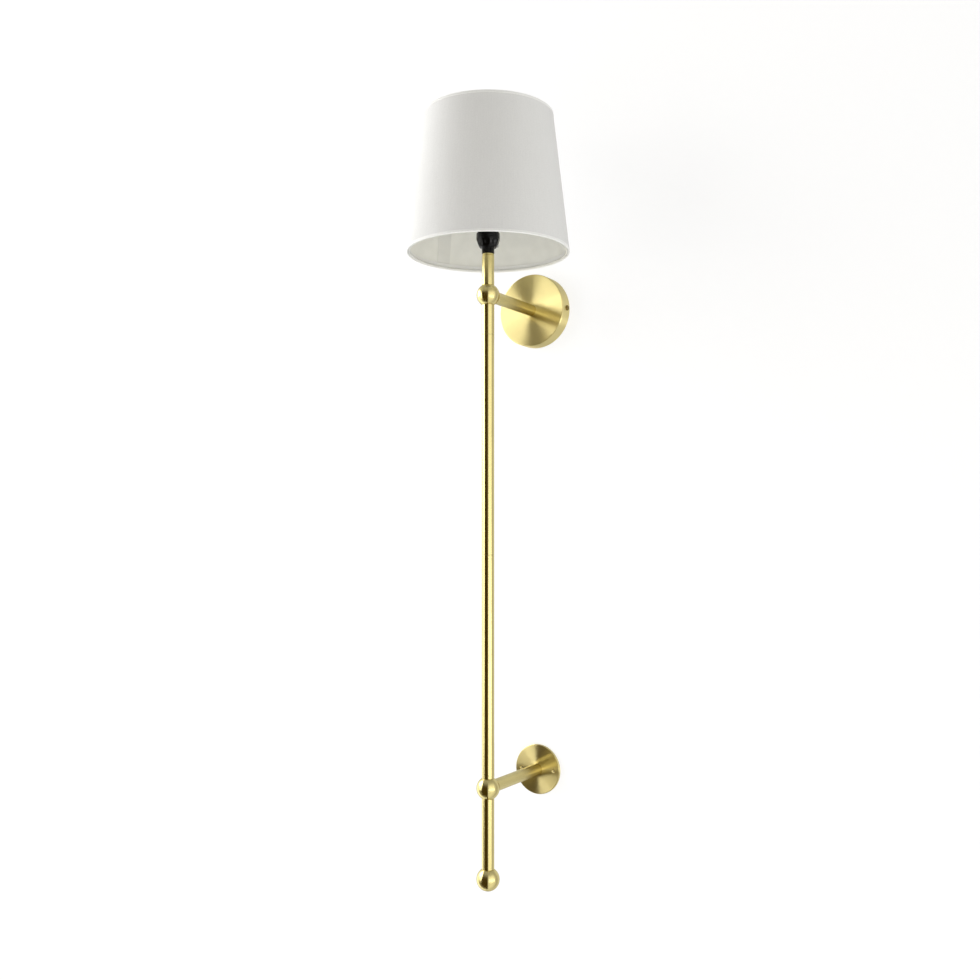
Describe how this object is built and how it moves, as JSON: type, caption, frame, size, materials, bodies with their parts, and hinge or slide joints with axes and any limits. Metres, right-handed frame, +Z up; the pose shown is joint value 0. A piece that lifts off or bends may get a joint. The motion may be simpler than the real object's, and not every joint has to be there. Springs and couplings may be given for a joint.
{
  "type": "wall light",
  "caption": "Tall brass wall light: a straight stem held off the wall by two rigid arms, carrying a tapered linen shade on a screw lampholder.",
  "frame": {"origin": "middle of the wall bracket's back face, on the axis of the upper arm", "axes": "+Z up along the stem; +Y into the wall; +X to the right for someone facing the wall"},
  "size_m": [0.212, 0.24, 1],
  "materials": {
    "brass": "satin brushed, clear lacquered",
    "zinc_steel": "zinc plated",
    "black_phenolic": "moulded, glossy",
    "ceramic": "unglazed",
    "nylon": "moulded, natural",
    "brown_insulation": "extruded",
    "blue_insulation": "extruded",
    "green_yellow_insulation": "extruded, striped",
    "opal_glass": "opal, glossy",
    "linen": "plain weave, bonded to the liner",
    "styrene": "matt sheet",
    "white_wire": "powder coated"
  },
  "bodies": {
    "fixture": {"canopy": "brass", "canopy_screw_left": "brass", "canopy_screw_right": "brass", "upper_arm": "brass", "upper_ball": "brass", "top_tube": "brass", "neck_stub": "brass", "stem_tube_upper": "brass", "stem_tube_lower": "brass", "lower_ball": "brass", "tail_tube": "brass", "finial_ball": "brass", "lower_arm": "brass", "lower_wall_plate": "brass", "terminal_earth": "brass", "terminal_live": "brass", "terminal_neutral": "brass", "holder_thread_shell": "brass", "holder_centre_contact": "brass", "wall_bracket": "zinc_steel", "canopy_nipple": "zinc_steel", "canopy_nut": "zinc_steel", "canopy_washer": "zinc_steel", "earth_screw": "zinc_steel", "earth_ring_terminal": "zinc_steel", "block_screw": "zinc_steel", "upper_arm_nipple": "zinc_steel", "upper_ball_top_nipple": "zinc_steel", "upper_ball_lower_nipple": "zinc_steel", "stub_joint_nipple": "zinc_steel", "stem_joint_nipple": "zinc_steel", "lower_ball_top_nipple": "zinc_steel", "tail_nipple": "zinc_steel", "finial_nipple": "zinc_steel", "lower_arm_nipple": "zinc_steel", "lower_plate_nipple": "zinc_steel", "holder_nipple": "zinc_steel", "holder_lock_screw": "zinc_steel", "holder_base": "black_phenolic", "holder_skirt": "black_phenolic", "holder_insert": "ceramic", "terminal_block": "nylon", "wire_live": "brown_insulation", "wire_neutral": "blue_insulation", "wire_earth": "green_yellow_insulation"},
    "shade": {"shade_cover": "linen", "shade_liner": "styrene", "shade_top_ring": "white_wire", "shade_bottom_ring": "white_wire", "shade_hub": "white_wire", "shade_arm_1": "white_wire", "shade_arm_2": "white_wire", "shade_arm_3": "white_wire"},
    "shade_ring": {"shade_ring": "black_phenolic"},
    "bulb": {"bulb_cap": "zinc_steel", "bulb_globe": "opal_glass", "bulb_tip": "ceramic", "bulb_led_module": "ceramic"}
  },
  "joints": [
    {"name": "shade_turn", "type": "hinge", "parent": "fixture", "child": "shade", "pos_m": [0, -0.134, 0.1], "axis": [0, 0, 1], "continuous": true},
    {"name": "shade_ring_turn", "type": "hinge", "parent": "fixture", "child": "shade_ring", "pos_m": [0, -0.134, 0.105], "axis": [0, 0, 1], "range_deg": [0, 720]},
    {"name": "bulb_turn", "type": "hinge", "parent": "fixture", "child": "bulb", "pos_m": [0, -0.134, 0.11], "axis": [0, 0, 1], "range_deg": [0, 1080]}
  ]
}
